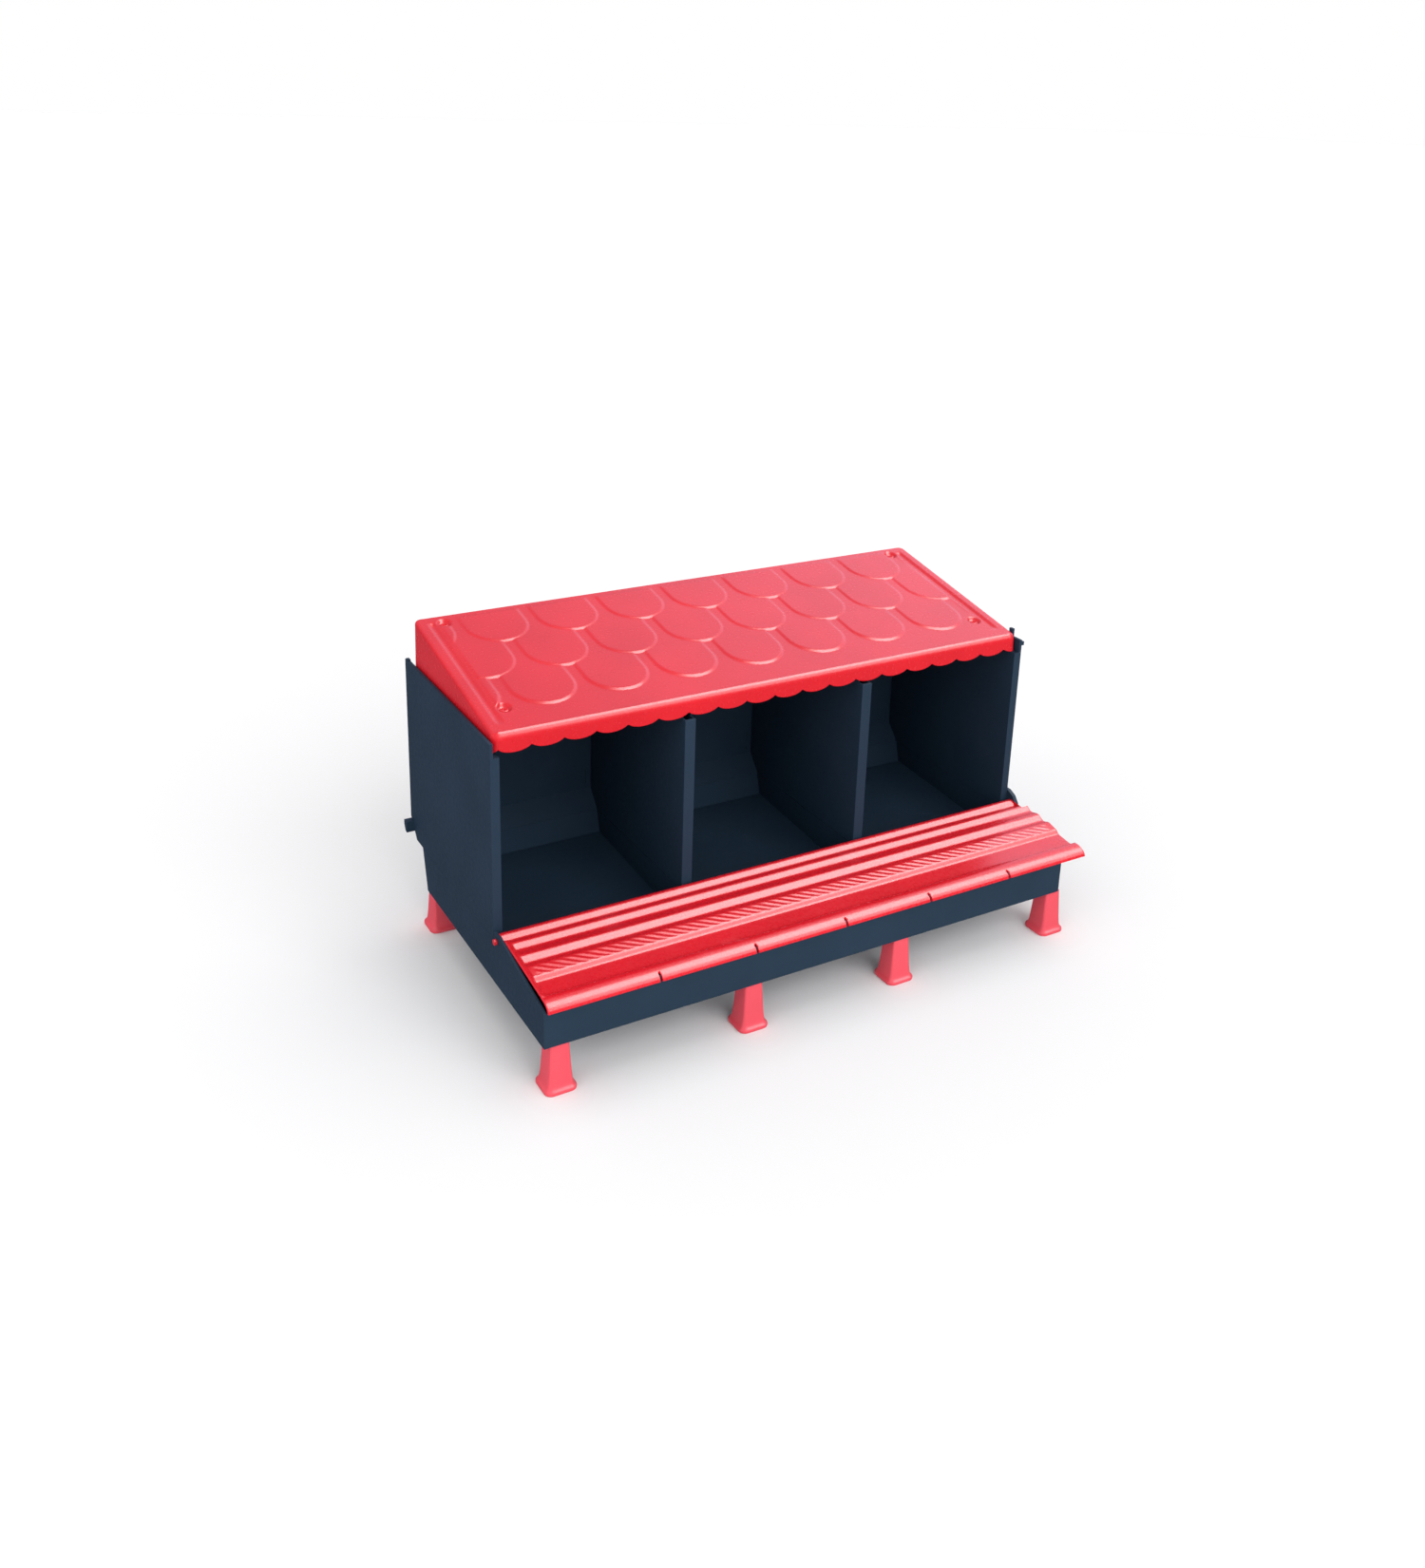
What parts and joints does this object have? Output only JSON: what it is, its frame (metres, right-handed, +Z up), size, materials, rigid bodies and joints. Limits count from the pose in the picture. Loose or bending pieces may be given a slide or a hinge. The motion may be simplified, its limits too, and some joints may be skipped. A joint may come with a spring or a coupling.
{
  "type": "nesting box",
  "caption": "Raised moulded laying box: open-fronted nests under a lift-off tiled roof, with a front egg trough and a hinged ribbed cover.",
  "frame": {"origin": "on the ground, under the middle of the object's overall length and depth", "axes": "+X along the length to the viewer's right, +Y towards the back, +Z up; the nests open towards -Y"},
  "size_m": [0.985, 0.5516, 0.526],
  "materials": {
    "navy_plastic": "dark navy injection-moulded plastic, satin, very fine mould texture",
    "red_plastic": "bright red injection-moulded plastic, glossy",
    "foot_plastic": "light coral-red injection-moulded plastic, satin gloss",
    "pin_plastic": "red injection-moulded plastic, satin gloss"
  },
  "bodies": {
    "housing": {"base_tray": "navy_plastic", "side_panel_left": "navy_plastic", "side_panel_right": "navy_plastic", "divider_left": "navy_plastic", "divider_right": "navy_plastic", "back_panel_left": "navy_plastic", "back_panel_centre": "navy_plastic", "back_panel_right": "navy_plastic", "hinge_pin_left": "pin_plastic", "hinge_pin_right": "pin_plastic", "foot_front_1": "foot_plastic", "foot_front_2": "foot_plastic", "foot_front_3": "foot_plastic", "foot_front_4": "foot_plastic", "foot_rear_1": "foot_plastic", "foot_rear_2": "foot_plastic", "foot_rear_3": "foot_plastic", "foot_rear_4": "foot_plastic"},
    "roof": {"roof": "red_plastic", "roof_peg_front_left": "pin_plastic", "roof_peg_front_right": "pin_plastic", "roof_peg_rear_left": "pin_plastic", "roof_peg_rear_right": "pin_plastic"},
    "egg_cover": {"egg_cover": "red_plastic"}
  },
  "joints": [
    {"name": "roof_lift", "type": "slide", "parent": "housing", "child": "roof", "axis": [0, 0, 1], "range_m": [0, 0.25]},
    {"name": "egg_cover_hinge", "type": "hinge", "parent": "housing", "child": "egg_cover", "pos_m": [0, -0.09875, 0.149], "axis": [-1, 0, 0], "range_deg": [0, 93]}
  ]
}
